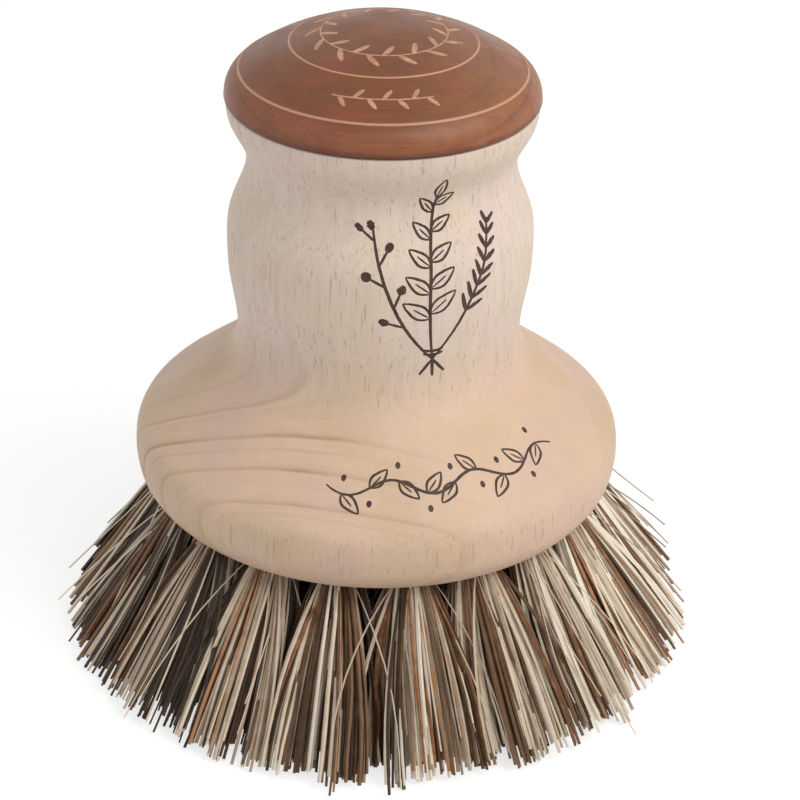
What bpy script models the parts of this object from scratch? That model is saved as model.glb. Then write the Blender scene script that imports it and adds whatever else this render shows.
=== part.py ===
"""Pot brush: a turned beech body with a stained cap, and folded tufts of fibre stapled into drilled holes.

Run it in Blender 4.5. Lengths are in metres and +Z is up.
The origin is on the floor, under the middle of the brush.
"""

import math

import bmesh
import bpy
from mathutils import Matrix, Vector

# Fits and making
CLEARANCE = 0.0003
CUT_OVERRUN = 0.003
MERGE_DISTANCE = 0.00001
TURNING_STEPS = 40
ARC_STEPS = 3
EDGE_STEPS = 2
BARREL_STEPS = 4
SHARP_ANGLE = math.radians(40)

# Block and shoulder, with heights above the flat underside
RIM_RADIUS = 0.0325
LOWER_ROUND_INSET = 0.0039
LOWER_ROUND_RISE = 0.0052
RIM_BAND_HEIGHT = 0.0018
SHOULDER_ROUND_RADIUS = 0.00425
SHOULDER_ANGLE = math.radians(52.4)
COVE_RADIUS = 0.0075

# Barrel grip and neck
WAIST_RADIUS = 0.0187
BELLY_RADIUS = 0.0199
BELLY_RISE = 0.0106
BELLY_BAND_HEIGHT = 0.0036
NECK_RADIUS = 0.01735
NECK_RISE = 0.0096
NECK_FLARE_OUT = 0.00255
NECK_FLARE_RISE = 0.0072
NECK_LAND_HEIGHT = 0.00075

# Cap and its peg
CAP_RADIUS = 0.02015
CAP_EDGE_INSET = 0.0002
CAP_EDGE_RISE = 0.0002
CAP_CORNER_RADIUS = 0.0042
CAP_DOME_RADIUS = 0.0324
GROOVE_INSET = 0.00185
GROOVE_SPACING = 0.0064
GROOVE_WIDTH = 0.0005
GROOVE_DEPTH = 0.00025
CROWN_STEP_SHARES = (1 / 3, 2 / 3)
PEG_RADIUS = 0.005
PEG_LENGTH = 0.008

# Tuft holes, whose axes all meet at one point on the brush's axis
ROW_COUNTS = {"outer": 18, "middle": 8, "centre": 3}
HOLE_RADIUS = 0.0028
HOLE_DEPTH = 0.0095
HOLE_SIDES = 10
EDGE_WALL = 0.0006
MEETING_HEIGHT = 0.0443

# Tufts
BRISTLE_HEIGHT = 0.020
TIP_GAP = 0.0005
STRAND_RADIUS = 0.0004
STRAND_SIDES = 3
STRAND_SUNK = 0.001
STRAND_RING_COUNTS = (1, 4, 9)
ROOT_SIDES = 8
ROOT_MARGIN = 0.0006

# Staples
WIRE_RADIUS = 0.00035
FOLD_THICKNESS = 0.002
LEG_BITE = 0.003
LEG_WALL = 0.0002

# Colours as red, green, blue
BEECH_COLOUR = (0.62, 0.48, 0.36)
STAIN_COLOUR = (0.27, 0.12, 0.065)
WIRE_COLOUR = (0.62, 0.6, 0.55)
FIBRE_COLOURS = ((0.42, 0.32, 0.2), (0.16, 0.1, 0.06), (0.5, 0.44, 0.34), (0.3, 0.17, 0.08))

FIELD_RADIUS = RIM_RADIUS - LOWER_ROUND_INSET
ROOT_RADIUS = HOLE_RADIUS - CLEARANCE
CROWN_DEPTH = HOLE_DEPTH - CLEARANCE - FOLD_THICKNESS - WIRE_RADIUS
SLOT_RADIUS = WIRE_RADIUS + CLEARANCE
LEG_OFFSET = HOLE_RADIUS - SLOT_RADIUS - LEG_WALL


def clear_scene():
    for obj in list(bpy.data.objects):
        bpy.data.objects.remove(obj)


def new_collection(name, hidden=False):
    made = bpy.data.collections.new(name)
    bpy.context.scene.collection.children.link(made)
    made.hide_render = hidden
    return made


def new_material(name, colour, roughness, metallic=0.0):
    made = bpy.data.materials.new(name)
    made.use_nodes = True
    shader = made.node_tree.nodes["Principled BSDF"]
    shader.inputs["Base Color"].default_value = (*colour, 1.0)
    shader.inputs["Roughness"].default_value = roughness
    shader.inputs["Metallic"].default_value = metallic
    made.diffuse_color = (*colour, 1.0)
    return made


def new_object(name, mesh, collection, parent=None):
    made = bpy.data.objects.new(name, mesh)
    collection.objects.link(made)
    made.parent = parent
    return made


def hide_cutter(obj):
    obj.hide_render = True
    obj.display_type = "WIRE"


def add_boolean(obj, name, operation, cutter=None, cutters=None):
    """Joins or cuts obj by one object, or by all the objects of a collection."""
    boolean = obj.modifiers.new(name, "BOOLEAN")
    boolean.operation = operation
    boolean.solver = "EXACT"
    if cutters:
        boolean.operand_type = "COLLECTION"
        boolean.collection = cutters
    else:
        boolean.object = cutter


def arc(centre, radius, start, end, steps):
    """Points of a circular arc in the turning plane, by angle from the outward direction."""
    angles = [start + (end - start) * step / steps for step in range(steps + 1)]
    return [(centre[0] + radius * math.cos(a), centre[1] + radius * math.sin(a)) for a in angles]


def round_from_upright(sideways, rise):
    """The radius and angle of an arc that starts upright and ends this far sideways and along."""
    angle = 2 * math.atan(sideways / rise)
    return rise / math.sin(angle), angle


def eased(start, end, steps):
    """Points of a soft S from one upright tangent to the next, without its first point."""
    shares = [step / steps for step in range(1, steps + 1)]
    eases = [(1 - math.cos(math.pi * share)) / 2 for share in shares]
    return [
        (start[0] + (end[0] - start[0]) * ease, start[1] + (end[1] - start[1]) * share)
        for share, ease in zip(shares, eases)
    ]


def turned_mesh(name, profile):
    """A mesh of the profile's line, given as radius and height from top to bottom, to be turned."""
    mesh = bpy.data.meshes.new(name)
    points = [(radius, 0, height) for radius, height in profile]
    mesh.from_pydata(points, [(i, i + 1) for i in range(len(points) - 1)], [])
    return mesh


def turn(obj):
    screw = obj.modifiers.new("Turn", "SCREW")
    screw.axis = "Z"
    screw.steps = TURNING_STEPS
    screw.render_steps = TURNING_STEPS
    screw.use_merge_vertices = True
    screw.merge_threshold = MERGE_DISTANCE
    screw.use_smooth_shade = True


def body_heights():
    """Heights above the underside at which the body's profile changes."""
    round_top = LOWER_ROUND_RISE + RIM_BAND_HEIGHT
    cos_slope, sin_slope = math.cos(SHOULDER_ANGLE), math.sin(SHOULDER_ANGLE)
    slope_top_radius = RIM_RADIUS - SHOULDER_ROUND_RADIUS * (1 - cos_slope)
    slope_top = round_top + SHOULDER_ROUND_RADIUS * sin_slope
    slope_end_radius = WAIST_RADIUS + COVE_RADIUS * (1 - cos_slope)
    slope_end = slope_top + (slope_top_radius - slope_end_radius) * cos_slope / sin_slope
    waist = slope_end + COVE_RADIUS * sin_slope
    belly = waist + BELLY_RISE
    belly_top = belly + BELLY_BAND_HEIGHT
    neck = belly_top + NECK_RISE
    lip = neck + NECK_FLARE_RISE
    heights = {"round_top": round_top, "waist": waist, "belly": belly, "belly_top": belly_top}
    return {**heights, "neck": neck, "lip": lip, "top": lip + NECK_LAND_HEIGHT}


def body_profile():
    """The body's section, from the floor of the peg's bore up, and down the outer side to the underside."""
    at = body_heights()
    bore_radius = PEG_RADIUS + CLEARANCE
    bore_floor = at["top"] - PEG_LENGTH
    lip_radius = NECK_RADIUS + NECK_FLARE_OUT
    lower_radius, lower_angle = round_from_upright(LOWER_ROUND_INSET, LOWER_ROUND_RISE)
    profile = [(0, bore_floor), (bore_radius, bore_floor), (bore_radius, at["top"])]
    profile += [(lip_radius, at["top"]), (lip_radius, at["lip"])]
    profile += eased((lip_radius, at["lip"]), (NECK_RADIUS, at["neck"]), BARREL_STEPS)
    profile += eased((NECK_RADIUS, at["neck"]), (BELLY_RADIUS, at["belly_top"]), BARREL_STEPS)
    profile += [(BELLY_RADIUS, at["belly"])]
    profile += eased((BELLY_RADIUS, at["belly"]), (WAIST_RADIUS, at["waist"]), BARREL_STEPS)
    cove_centre = (WAIST_RADIUS + COVE_RADIUS, at["waist"])
    profile += arc(cove_centre, COVE_RADIUS, math.pi, math.pi + SHOULDER_ANGLE, ARC_STEPS)[1:]
    shoulder_centre = (RIM_RADIUS - SHOULDER_ROUND_RADIUS, at["round_top"])
    profile += arc(shoulder_centre, SHOULDER_ROUND_RADIUS, SHOULDER_ANGLE, 0, ARC_STEPS)
    lower_centre = (RIM_RADIUS - lower_radius, LOWER_ROUND_RISE)
    profile += arc(lower_centre, lower_radius, 0, -lower_angle, ARC_STEPS)
    profile += [(0, 0)]
    return [(radius, height + BRISTLE_HEIGHT) for radius, height in profile]


def groove(radius, height_at):
    """A fine engraved ring in the surface that height_at gives: inner lip, bottom and outer lip."""
    half = GROOVE_WIDTH / 2
    return [
        (radius - half, height_at(radius - half)),
        (radius, height_at(radius) - GROOVE_DEPTH),
        (radius + half, height_at(radius + half)),
    ]


def cap_profile():
    """The cap's section, from the crown of its dome down to the foot of its peg."""
    base = body_heights()["top"] + CLEARANCE
    corner_centre = (CAP_RADIUS - CAP_CORNER_RADIUS, base + CAP_EDGE_RISE)
    dome_to_corner = CAP_DOME_RADIUS - CAP_CORNER_RADIUS
    dome_centre = corner_centre[1] - math.sqrt(dome_to_corner**2 - corner_centre[0] ** 2)
    dome_edge = CAP_DOME_RADIUS * corner_centre[0] / dome_to_corner

    def height_at(radius):
        if radius < dome_edge:
            return dome_centre + math.sqrt(CAP_DOME_RADIUS**2 - radius**2)
        return corner_centre[1] + math.sqrt(CAP_CORNER_RADIUS**2 - (radius - corner_centre[0]) ** 2)

    outer_groove = CAP_RADIUS - GROOVE_INSET
    inner_groove = outer_groove - GROOVE_SPACING
    between = (inner_groove + outer_groove) / 2
    profile = [(0, dome_centre + CAP_DOME_RADIUS)]
    for share in CROWN_STEP_SHARES:
        profile += [(inner_groove * share, height_at(inner_groove * share))]
    profile += groove(inner_groove, height_at)
    profile += [(between, height_at(between))]
    profile += groove(outer_groove, height_at)
    lip_angle = math.acos((profile[-1][0] - corner_centre[0]) / CAP_CORNER_RADIUS)
    profile += arc(corner_centre, CAP_CORNER_RADIUS, lip_angle, 0, ARC_STEPS)[1:]
    lower_radius, lower_angle = round_from_upright(CAP_EDGE_INSET, CAP_EDGE_RISE)
    lower_centre = (CAP_RADIUS - lower_radius, corner_centre[1])
    profile += arc(lower_centre, lower_radius, 0, -lower_angle, EDGE_STEPS)[1:]
    peg_foot = base - PEG_LENGTH
    profile += [(PEG_RADIUS, base), (PEG_RADIUS, peg_foot), (0, peg_foot)]
    return [(radius, height + BRISTLE_HEIGHT) for radius, height in profile]


def plan_rows():
    """Each row's radius at the underside and on the floor, and how far its tufts fan out there.

    The rows come from the rim inwards. Neighbouring fans on the floor are a tip gap apart, along the row
    and from row to row.
    """
    spread = (MEETING_HEIGHT + BRISTLE_HEIGHT) / MEETING_HEIGHT
    rows = {}
    limit = None
    for name, count in ROW_COUNTS.items():
        half_step = math.sin(math.pi / count)
        if limit is None:
            floor_radius = (FIELD_RADIUS - EDGE_WALL - HOLE_RADIUS) * spread
        else:
            floor_radius = (limit + TIP_GAP / 2) / (1 + half_step)
        fan = floor_radius * half_step - TIP_GAP / 2
        rows[name] = {"count": count, "mouth": floor_radius / spread, "floor": floor_radius, "fan": fan}
        limit = floor_radius - fan - TIP_GAP
    return rows


def hole_matrix(row):
    """The frame of a hole on the +X side: X outwards from its mouth, Y along the row, Z into the wood."""
    mouth = Vector((row["mouth"], 0, BRISTLE_HEIGHT))
    inwards = (mouth - Vector((row["floor"], 0, 0))).normalized()
    along = Vector((0, 1, 0))
    outwards = along.cross(inwards)
    matrix = Matrix((outwards, along, inwards)).transposed().to_4x4()
    matrix.translation = mouth
    return matrix


def add_cylinder(mesh, radius, low, high, sides, matrix):
    """A closed cylinder along the local Z from low to high."""
    made = bmesh.ops.create_cone(
        mesh, cap_ends=True, segments=sides, radius1=radius, radius2=radius, depth=high - low
    )
    bmesh.ops.translate(mesh, verts=made["verts"], vec=(0, 0, (low + high) / 2))
    bmesh.ops.transform(mesh, verts=made["verts"], matrix=matrix)


def cylinder_mesh(name, radius, low, high, sides, matrix):
    mesh = bmesh.new()
    add_cylinder(mesh, radius, low, high, sides, matrix)
    made = bpy.data.meshes.new(name)
    mesh.to_mesh(made)
    mesh.free()
    return made


def staple_mesh(name, wire_radius, leg_end, matrix):
    """A wire bent square: a crown across the hole, with a leg at each end that runs deeper to leg_end."""
    curve = bpy.data.curves.new(name, "CURVE")
    curve.dimensions = "3D"
    curve.bevel_depth = wire_radius
    curve.bevel_resolution = 1
    curve.use_fill_caps = True
    wire = curve.splines.new("POLY")
    corners = [(-LEG_OFFSET, leg_end), (-LEG_OFFSET, CROWN_DEPTH)]
    corners += [(-across, depth) for across, depth in reversed(corners)]
    wire.points.add(len(corners) - 1)
    for point, (across, depth) in zip(wire.points, corners):
        point.co = (across, 0, depth, 1)
    guide = bpy.data.objects.new(name + "_guide", curve)
    bpy.context.scene.collection.objects.link(guide)
    graph = bpy.context.evaluated_depsgraph_get()
    made = bpy.data.meshes.new_from_object(guide.evaluated_get(graph))
    made.name = name
    bpy.data.objects.remove(guide)
    mesh = bmesh.new()
    mesh.from_mesh(made)
    bmesh.ops.remove_doubles(mesh, verts=mesh.verts, dist=MERGE_DISTANCE)
    bmesh.ops.recalc_face_normals(mesh, faces=mesh.faces)
    bmesh.ops.transform(mesh, verts=mesh.verts, matrix=matrix)
    mesh.to_mesh(made)
    mesh.free()
    return made


def strand_places():
    """Places across a tuft as shares of its radius: a strand in the middle and rings round it."""
    rings = len(STRAND_RING_COUNTS) - 1
    places = []
    for ring, count in enumerate(STRAND_RING_COUNTS):
        for step in range(count):
            angle = 2 * math.pi * step / count
            places.append((ring / rings * math.cos(angle), ring / rings * math.sin(angle)))
    return places


def add_strand(mesh, root, floor_end, matrix):
    """One strand with a corner facing outwards, from its root in the tuft to its level end on the floor."""
    made = bmesh.ops.create_cone(
        mesh,
        cap_ends=True,
        segments=STRAND_SIDES,
        radius1=STRAND_RADIUS,
        radius2=STRAND_RADIUS,
        depth=STRAND_SUNK,
    )
    for vert in made["verts"]:
        corner = Vector((vert.co.y, -vert.co.x, 0))
        vert.co = matrix @ (root + corner) if vert.co.z > 0 else floor_end + corner


def strands_mesh(name, row, matrix):
    """All strands of a tuft, spread evenly from the root to the fan on the floor, so that none cross."""
    root_spread = ROOT_RADIUS - STRAND_RADIUS - ROOT_MARGIN
    fan_spread = row["fan"] - STRAND_RADIUS
    fan_centre = Vector((row["floor"], 0, 0))
    mesh = bmesh.new()
    for across, along in strand_places():
        root = Vector((across * root_spread, along * root_spread, STRAND_SUNK))
        floor_end = fan_centre + Vector((across, along, 0)) * fan_spread
        add_strand(mesh, root, floor_end, matrix)
    made = bpy.data.meshes.new(name)
    mesh.to_mesh(made)
    mesh.free()
    return made


def tuft_mesh(name, row, matrix, cutters):
    """A tuft on the +X side: the root in its hole, slotted for the staple, with its strands fused on."""
    root_mesh = cylinder_mesh(name, ROOT_RADIUS, 0, HOLE_DEPTH - CLEARANCE, ROOT_SIDES, matrix)
    slot_mesh = staple_mesh(name + "_slot", SLOT_RADIUS, HOLE_DEPTH + CUT_OVERRUN, matrix)
    root = new_object(name, root_mesh, cutters)
    strands = new_object(name + "_strands", strands_mesh(name + "_strands", row, matrix), cutters)
    slot = new_object(name + "_slot", slot_mesh, cutters)
    add_boolean(root, "Fuse strands", "UNION", strands)
    add_boolean(root, "Staple slot", "DIFFERENCE", slot)
    graph = bpy.context.evaluated_depsgraph_get()
    made = bpy.data.meshes.new_from_object(root.evaluated_get(graph))
    made.name = name
    for helper in (root, strands, slot):
        bpy.data.objects.remove(helper)
    return made


def finish_smooth(mesh):
    mesh.shade_smooth()
    mesh.set_sharp_from_angle(angle=SHARP_ANGLE)


def build_tufts(parts, cutters, holes, brush):
    """The tufts and staples of every row, and the cutters that make their holes in the body."""
    wire = new_material("staple_wire", WIRE_COLOUR, 0.35, 1.0)
    fibres = [new_material(f"fibre_{i + 1}", colour, 0.7) for i, colour in enumerate(FIBRE_COLOURS)]
    leg_end = HOLE_DEPTH + LEG_BITE
    made = 0
    for name, row in plan_rows().items():
        matrix = hole_matrix(row)
        tuft = tuft_mesh("tuft_" + name, row, matrix, cutters)
        staple = staple_mesh("staple_" + name, WIRE_RADIUS, leg_end, matrix)
        hole = cylinder_mesh("hole_" + name, HOLE_RADIUS, -CUT_OVERRUN, HOLE_DEPTH, HOLE_SIDES, matrix)
        bores = staple_mesh("leg_bores_" + name, SLOT_RADIUS, leg_end + CLEARANCE, matrix)
        finish_smooth(staple)
        staple.materials.append(wire)
        tuft.materials.clear()
        tuft.materials.append(None)
        for step in range(row["count"]):
            number = f"{name}_{step + 1:02d}"
            bearing = 2 * math.pi * step / row["count"]
            pieces = [
                new_object("tuft_" + number, tuft, parts, brush),
                new_object("staple_" + number, staple, parts, brush),
                new_object("hole_" + number, hole, holes, brush),
                new_object("leg_bores_" + number, bores, holes, brush),
            ]
            for piece in pieces:
                piece.rotation_euler.z = bearing
            pieces[0].material_slots[0].link = "OBJECT"
            pieces[0].material_slots[0].material = fibres[made % len(fibres)]
            hide_cutter(pieces[2])
            hide_cutter(pieces[3])
            made += 1


def build_body(parts, holes, brush):
    mesh = turned_mesh("wood_body", body_profile())
    mesh.materials.append(new_material("beech", BEECH_COLOUR, 0.6))
    body = new_object("wood_body", mesh, parts, brush)
    turn(body)
    add_boolean(body, "Drill holes", "DIFFERENCE", cutters=holes)


def build_cap(parts, brush):
    mesh = turned_mesh("stained_cap", cap_profile())
    mesh.materials.append(new_material("stained_beech", STAIN_COLOUR, 0.4))
    turn(new_object("stained_cap", mesh, parts, brush))


def main():
    clear_scene()
    parts = new_collection("pot_brush")
    cutters = new_collection("helpers", hidden=True)
    holes = new_collection("hole_cutters", hidden=True)
    brush = new_object("brush_frame", None, parts)
    build_tufts(parts, cutters, holes, brush)
    build_body(parts, holes, brush)
    build_cap(parts, brush)


main()
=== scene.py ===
# Pot brush: the looks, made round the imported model.
# Lengths are in metres, the floor is at height 0 and the front of the brush faces -Y.
import math
import random

import bmesh
import bpy
import numpy as np
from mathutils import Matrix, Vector


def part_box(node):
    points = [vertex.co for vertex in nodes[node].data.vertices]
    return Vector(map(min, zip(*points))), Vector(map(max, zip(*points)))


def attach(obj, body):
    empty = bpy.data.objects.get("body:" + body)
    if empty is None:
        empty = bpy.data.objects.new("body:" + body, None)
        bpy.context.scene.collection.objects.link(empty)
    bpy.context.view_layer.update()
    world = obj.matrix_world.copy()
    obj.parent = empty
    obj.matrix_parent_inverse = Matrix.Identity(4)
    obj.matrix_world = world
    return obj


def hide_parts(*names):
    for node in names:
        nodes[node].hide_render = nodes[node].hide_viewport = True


print("loading the frame")
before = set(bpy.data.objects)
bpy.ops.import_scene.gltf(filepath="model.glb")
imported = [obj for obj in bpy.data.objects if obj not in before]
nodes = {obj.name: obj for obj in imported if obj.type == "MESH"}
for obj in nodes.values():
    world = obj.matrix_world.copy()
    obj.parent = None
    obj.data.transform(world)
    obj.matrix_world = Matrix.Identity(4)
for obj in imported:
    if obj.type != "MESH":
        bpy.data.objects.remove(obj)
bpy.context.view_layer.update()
upwards = Vector((0, 0, 1))


def screenColour(red, green, blue):
    # a colour picked on screen, 0 to 255, as the linear colour that shaders take
    shares = [channel / 255 for channel in (red, green, blue)]
    return tuple(s / 12.92 if s <= 0.04045 else ((s + 0.055) / 1.055) ** 2.4 for s in shares) + (1.0,)


# Shader helpers

def setSockets(tree, node, sockets):
    for name, value in sockets.items():
        if isinstance(value, bpy.types.NodeSocket):
            tree.links.new(value, node.inputs[name])
        else:
            node.inputs[name].default_value = value


def addNode(tree, kind, sockets=(), **settings):
    made = tree.nodes.new("ShaderNode" + kind)
    for name, value in settings.items():
        setattr(made, name, value)
    setSockets(tree, made, dict(sockets))
    return made


def maths(tree, operation, first, second=0.0, clamped=False):
    return addNode(tree, "Math", {0: first, 1: second}, operation=operation, use_clamp=clamped).outputs[0]


def times(tree, first, second):
    return maths(tree, "MULTIPLY", first, second)


def vectorMaths(tree, operation, first, second=(0, 0, 0)):
    return addNode(tree, "VectorMath", {0: first, 1: second}, operation=operation).outputs


def stretched(tree, place, factors):
    return vectorMaths(tree, "MULTIPLY", place, factors)[0]


def howFar(tree, place, direction):
    # how far a place lies in a direction
    return vectorMaths(tree, "DOT_PRODUCT", place, direction)["Value"]


def mixed(tree, share, first, second, blend="MIX"):
    sockets = {0: share, 6: first, 7: second}
    return addNode(tree, "Mix", sockets, data_type="RGBA", blend_type=blend).outputs[2]


def noise(tree, place, scale, detail=2.0, roughness=0.5):
    sockets = {"Vector": place, "Scale": scale, "Detail": detail, "Roughness": roughness}
    return addNode(tree, "TexNoise", sockets).outputs[0]


def heightOf(tree, place):
    return addNode(tree, "SeparateXYZ", {0: place}).outputs["Z"]


def between(tree, value, low, high, start=0.0, end=1.0):
    # low..high of the value becomes start..end, held at both ends
    sockets = {0: value, 1: low, 2: high, 3: start, 4: end}
    return addNode(tree, "MapRange", sockets, clamp=True).outputs[0]


def layered(tree, value, tone, layers):
    # lays tones over one another, each where the value lies between its ends
    for upper, ends in layers:
        tone = mixed(tree, between(tree, value, *ends), tone, upper)
    return tone


def colourRamp(tree, share, stops):
    made = addNode(tree, "ValToRGB", {0: share})
    marks = made.color_ramp.elements
    while len(marks) < len(stops):
        marks.new(1.0)
    for mark, (position, tone) in zip(marks, stops):
        mark.position = position
        mark.color = tone
    return made.outputs[0]


def newGroup(name, inputs, outputs):
    group = bpy.data.node_groups.new(name, "ShaderNodeTree")
    for socketName, kind, value in inputs:
        socket = group.interface.new_socket(socketName, in_out="INPUT", socket_type="NodeSocket" + kind)
        socket.default_value = value
    for socketName in outputs:
        group.interface.new_socket(socketName, in_out="OUTPUT", socket_type="NodeSocketFloat")
    start = group.nodes.new("NodeGroupInput").outputs
    end = group.nodes.new("NodeGroupOutput").inputs
    return group, start, end


def newMaterial(name):
    made = bpy.data.materials.new(name)
    made.use_nodes = True
    tree = made.node_tree
    shader = tree.nodes["Principled BSDF"]
    place = addNode(tree, "TexCoord").outputs["Object"]
    return made, tree, shader, place


def setFinish(tree, shader, finish, tone, rubbed, height):
    # the finish holds the roughness from least rubbed to most, the bump and the specular light
    strength, distance = finish["bump"]
    bump = addNode(tree, "Bump", {"Height": height, "Strength": strength, "Distance": distance})
    setSockets(tree, shader, {
        "Base Color": tone,
        "Roughness": between(tree, rubbed, 0.0, 1.0, *finish["roughness"]),
        "Normal": bump.outputs[0],
        "Specular IOR Level": finish["specular"],
    })


# Shared effects

beechFigure = {
    "slowness": (1, 1, 0.2),      # what drifts along the grain does so slowly
    "ringWander": 0.0012,         # how far the rings leave a true circle
    "wanderScale": 55.0,
    "lateWood": [(0.0, 0.0), (0.55, 0.0), (0.8, 0.2), (0.93, 1.0), (1.0, 0.0)],   # darkness over one year
    "lineWidth": 0.00055,         # fine lines that run along the rings
    "lineEnds": (0.45, 0.65, 0.0, 0.3),
    "faintScale": 90.0,           # the rings are faint in places
    "faintEnds": (0.35, 0.65, 0.35, 1.0),
    "fleckSize": (0.00026, 0.00026, 0.004),
    "fleckThinning": (0.3, 0.7, 0.66, 0.6),
    "thinningScale": 120.0,
    "fleckEdge": 0.08,
    "streakSize": (0.0009, 0.0009, 0.03),
    "streakEnds": (0.3, 0.7),
}


def makeBeechGroup():
    # growth rings, ray flecks and fibre streaks of wood whose grain runs along Z
    sizes = beechFigure
    group, given, out = newGroup(
        "beechFigure",
        [("Place", "Vector", (0, 0, 0)), ("Pith", "Vector", (0, 0, 0)), ("Ring Width", "Float", 0.004)],
        ["Rings", "Flecks", "Streaks"],
    )
    place = given["Place"]
    slow = stretched(group, place, sizes["slowness"])
    wander = addNode(group, "TexNoise", {"Vector": slow, "Scale": sizes["wanderScale"]}).outputs["Color"]
    centred = vectorMaths(group, "SUBTRACT", wander, (0.5, 0.5, 0.5))[0]
    moved = stretched(group, centred, (sizes["ringWander"], sizes["ringWander"], 0))
    bent = vectorMaths(group, "ADD", place, moved)[0]
    fromPith = vectorMaths(group, "SUBTRACT", bent, given["Pith"])[0]
    distance = vectorMaths(group, "LENGTH", stretched(group, fromPith, (1, 1, 0)))["Value"]
    season = maths(group, "FRACT", maths(group, "DIVIDE", distance, given["Ring Width"]))
    late = colourRamp(group, season, [(at, (dark, dark, dark, 1)) for at, dark in sizes["lateWood"]])
    run = addNode(group, "CombineXYZ", {0: distance}).outputs[0]
    lines = between(group, noise(group, run, 1 / sizes["lineWidth"], detail=1.0), *sizes["lineEnds"])
    faint = between(group, noise(group, slow, sizes["faintScale"]), *sizes["faintEnds"])
    group.links.new(times(group, maths(group, "MAXIMUM", late, lines), faint), out["Rings"])
    fleckPlace = stretched(group, place, [1 / size for size in sizes["fleckSize"]])
    flecks = noise(group, fleckPlace, scale=1.0, detail=1.0)
    thinned = between(group, noise(group, place, sizes["thinningScale"]), *sizes["fleckThinning"])
    shown = between(group, maths(group, "SUBTRACT", flecks, thinned), 0.0, sizes["fleckEdge"])
    group.links.new(shown, out["Flecks"])
    streakPlace = stretched(group, place, [1 / size for size in sizes["streakSize"]])
    streaks = noise(group, streakPlace, scale=1.0, detail=3.0, roughness=0.6)
    group.links.new(between(group, streaks, *sizes["streakEnds"]), out["Streaks"])
    return group


handWear = {
    "smudgeSize": 0.008,
    "smudgeEnds": (0.35, 0.68),
    "pitSize": 0.0002,
    "pitEnds": (0.3, 0.7),      # over these, the pits take drawn and engraved lines from smooth to rough
}


def makeWearGroup():
    # soft smudges from handling, and the tiny pits and scratches of a used surface
    group, given, out = newGroup(
        "handWear",
        [
            ("Place", "Vector", (0, 0, 0)),
            ("Smudge Size", "Float", handWear["smudgeSize"]),
            ("Pit Size", "Float", handWear["pitSize"]),
        ],
        ["Smudges", "Pits"],
    )
    smudgeScale = maths(group, "DIVIDE", 1.0, given["Smudge Size"])
    pitScale = maths(group, "DIVIDE", 1.0, given["Pit Size"])
    smudges = noise(group, given["Place"], smudgeScale, detail=3.0, roughness=0.55)
    group.links.new(between(group, smudges, *handWear["smudgeEnds"]), out["Smudges"])
    group.links.new(noise(group, given["Place"], pitScale), out["Pits"])
    return group


print("making the shared effects")
beechGroup = makeBeechGroup()
wearGroup = makeWearGroup()


def figureOf(tree, place, wood):
    sockets = {"Place": place, "Pith": wood["pith"], "Ring Width": wood["ringWidth"]}
    return addNode(tree, "Group", sockets, node_tree=beechGroup).outputs


def worn(tree, place, smudgeSize=handWear["smudgeSize"], pitSize=handWear["pitSize"]):
    sockets = {"Place": place, "Smudge Size": smudgeSize, "Pit Size": pitSize}
    return addNode(tree, "Group", sockets, node_tree=wearGroup).outputs


# Beech

beech = {
    "blockTone": screenColour(226, 194, 165),
    "blockPatches": [
        (screenColour(222, 188, 170), (0.5, 0.62, 0.0, 0.8)),
        (screenColour(208, 180, 142), (0.38, 0.5, 0.45, 0.0)),
    ],
    "barrelTone": screenColour(233, 215, 197),
    "barrelPatches": [
        (screenColour(234, 213, 202), (0.48, 0.58, 0.0, 0.9)),
        (screenColour(232, 208, 183), (0.38, 0.46, 0.5, 0.0)),
    ],
    "patchSize": 0.012,
    "toneEnds": (0.0385, 0.0475),       # heights between which the block's tone turns into the barrel's
    "pith": (0.032, 0.052, 0.0),        # where the tree's centre runs, parallel to the brush's axis
    "ringWidth": 0.00378,
    "ringTone": screenColour(182, 146, 114),
    "ringShares": (0.95, 0.2),          # on the block and on the barrel
    "ringSides": [                      # the rings show best this way out, between these two places
        ((-0.94, 0.34, 0.0), (-0.014, -0.001, 0.1, 1.0)),
        ((-0.7, -0.71, 0.0), (0.0165, 0.0215, 0.28, 1.0)),
    ],
    "fleckTone": screenColour(176, 142, 112),
    "fleckSlopes": (0.3, 0.7, 0.54, 0.15),      # they show where the wood is cut along its grain
    "streakTone": screenColour(205, 186, 170),
    "streakShare": 0.38,
    "smudgeShare": 0.12,
    "roughness": (0.5, 0.62),
    "turningStep": 0.0009,
    "turningWaver": 1.5,
    "relief": (-0.7, 0.25, 0.5, 0.3),   # of the flecks, the marks of turning, the streaks and the pits
    "bump": (0.35, 0.00006),
    "specular": 0.35,
}


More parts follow.
